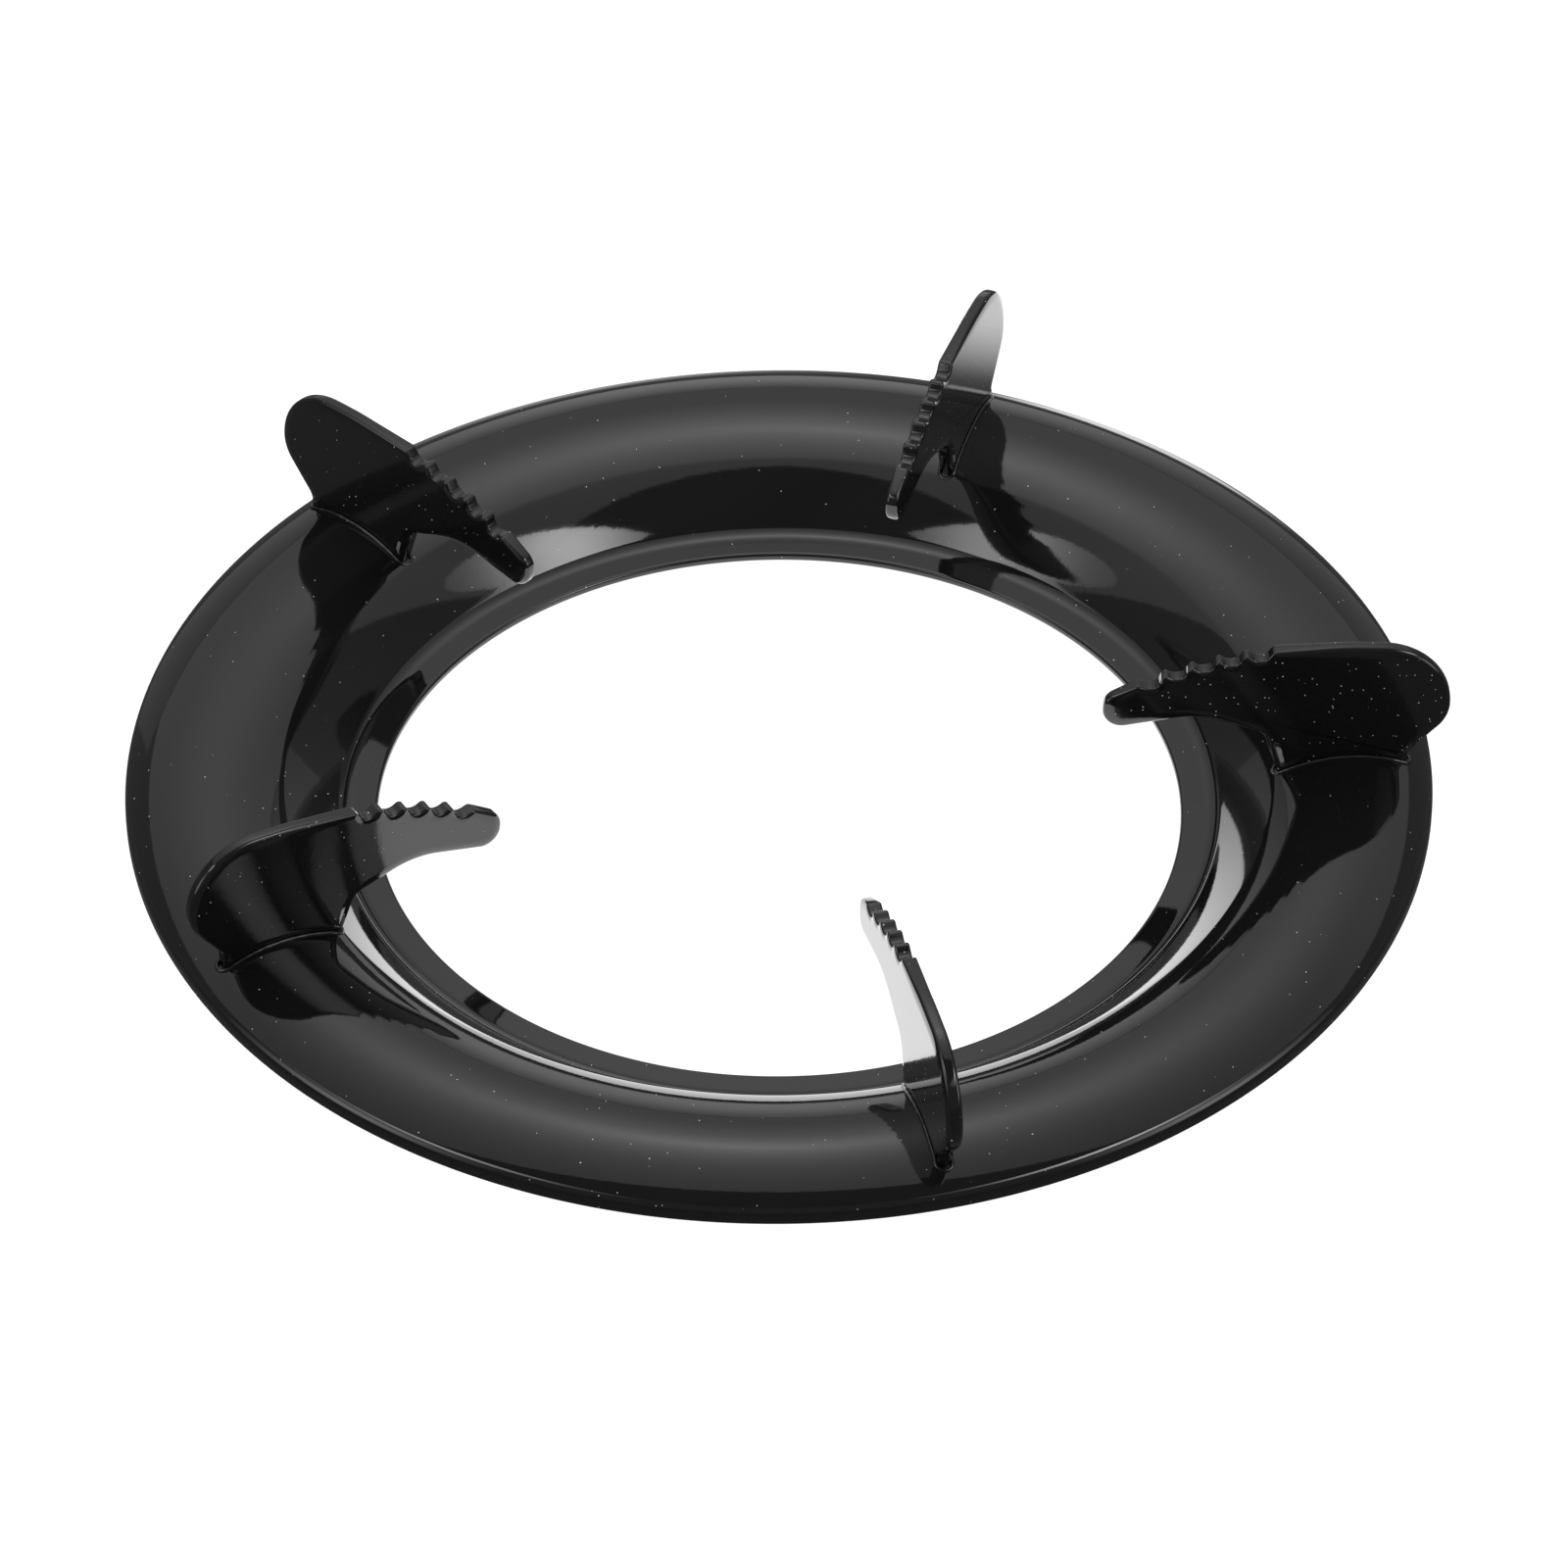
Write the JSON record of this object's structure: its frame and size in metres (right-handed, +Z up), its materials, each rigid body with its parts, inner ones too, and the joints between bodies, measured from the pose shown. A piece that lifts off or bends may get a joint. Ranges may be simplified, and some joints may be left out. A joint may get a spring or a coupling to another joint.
{
  "type": "wok ring",
  "caption": "Pressed steel hob ring in glossy black enamel, open in the middle, with notched plate fingers welded on its crown to steady a round-bottomed wok.",
  "frame": {"origin": "on the ring's axis, in the plane of the inner flange's underside, which rests on the hob's grate", "axes": "+Z up along the ring's axis; +X in the flange's plane, about 2 degrees from the finger on that side; +Y completes the right-handed set"},
  "size_m": [0.2473, 0.245, 0.0429],
  "materials": {
    "ring_enamel": "glossy black porcelain enamel over pressed steel",
    "finger_enamel": "glossy black porcelain enamel over stamped and tumbled steel plate, fused over the weld at the foot"
  },
  "bodies": {
    "root": {"ring": "ring_enamel", "finger_1": "finger_enamel", "finger_2": "finger_enamel", "finger_3": "finger_enamel", "finger_4": "finger_enamel", "finger_5": "finger_enamel"}
  },
  "joints": []
}
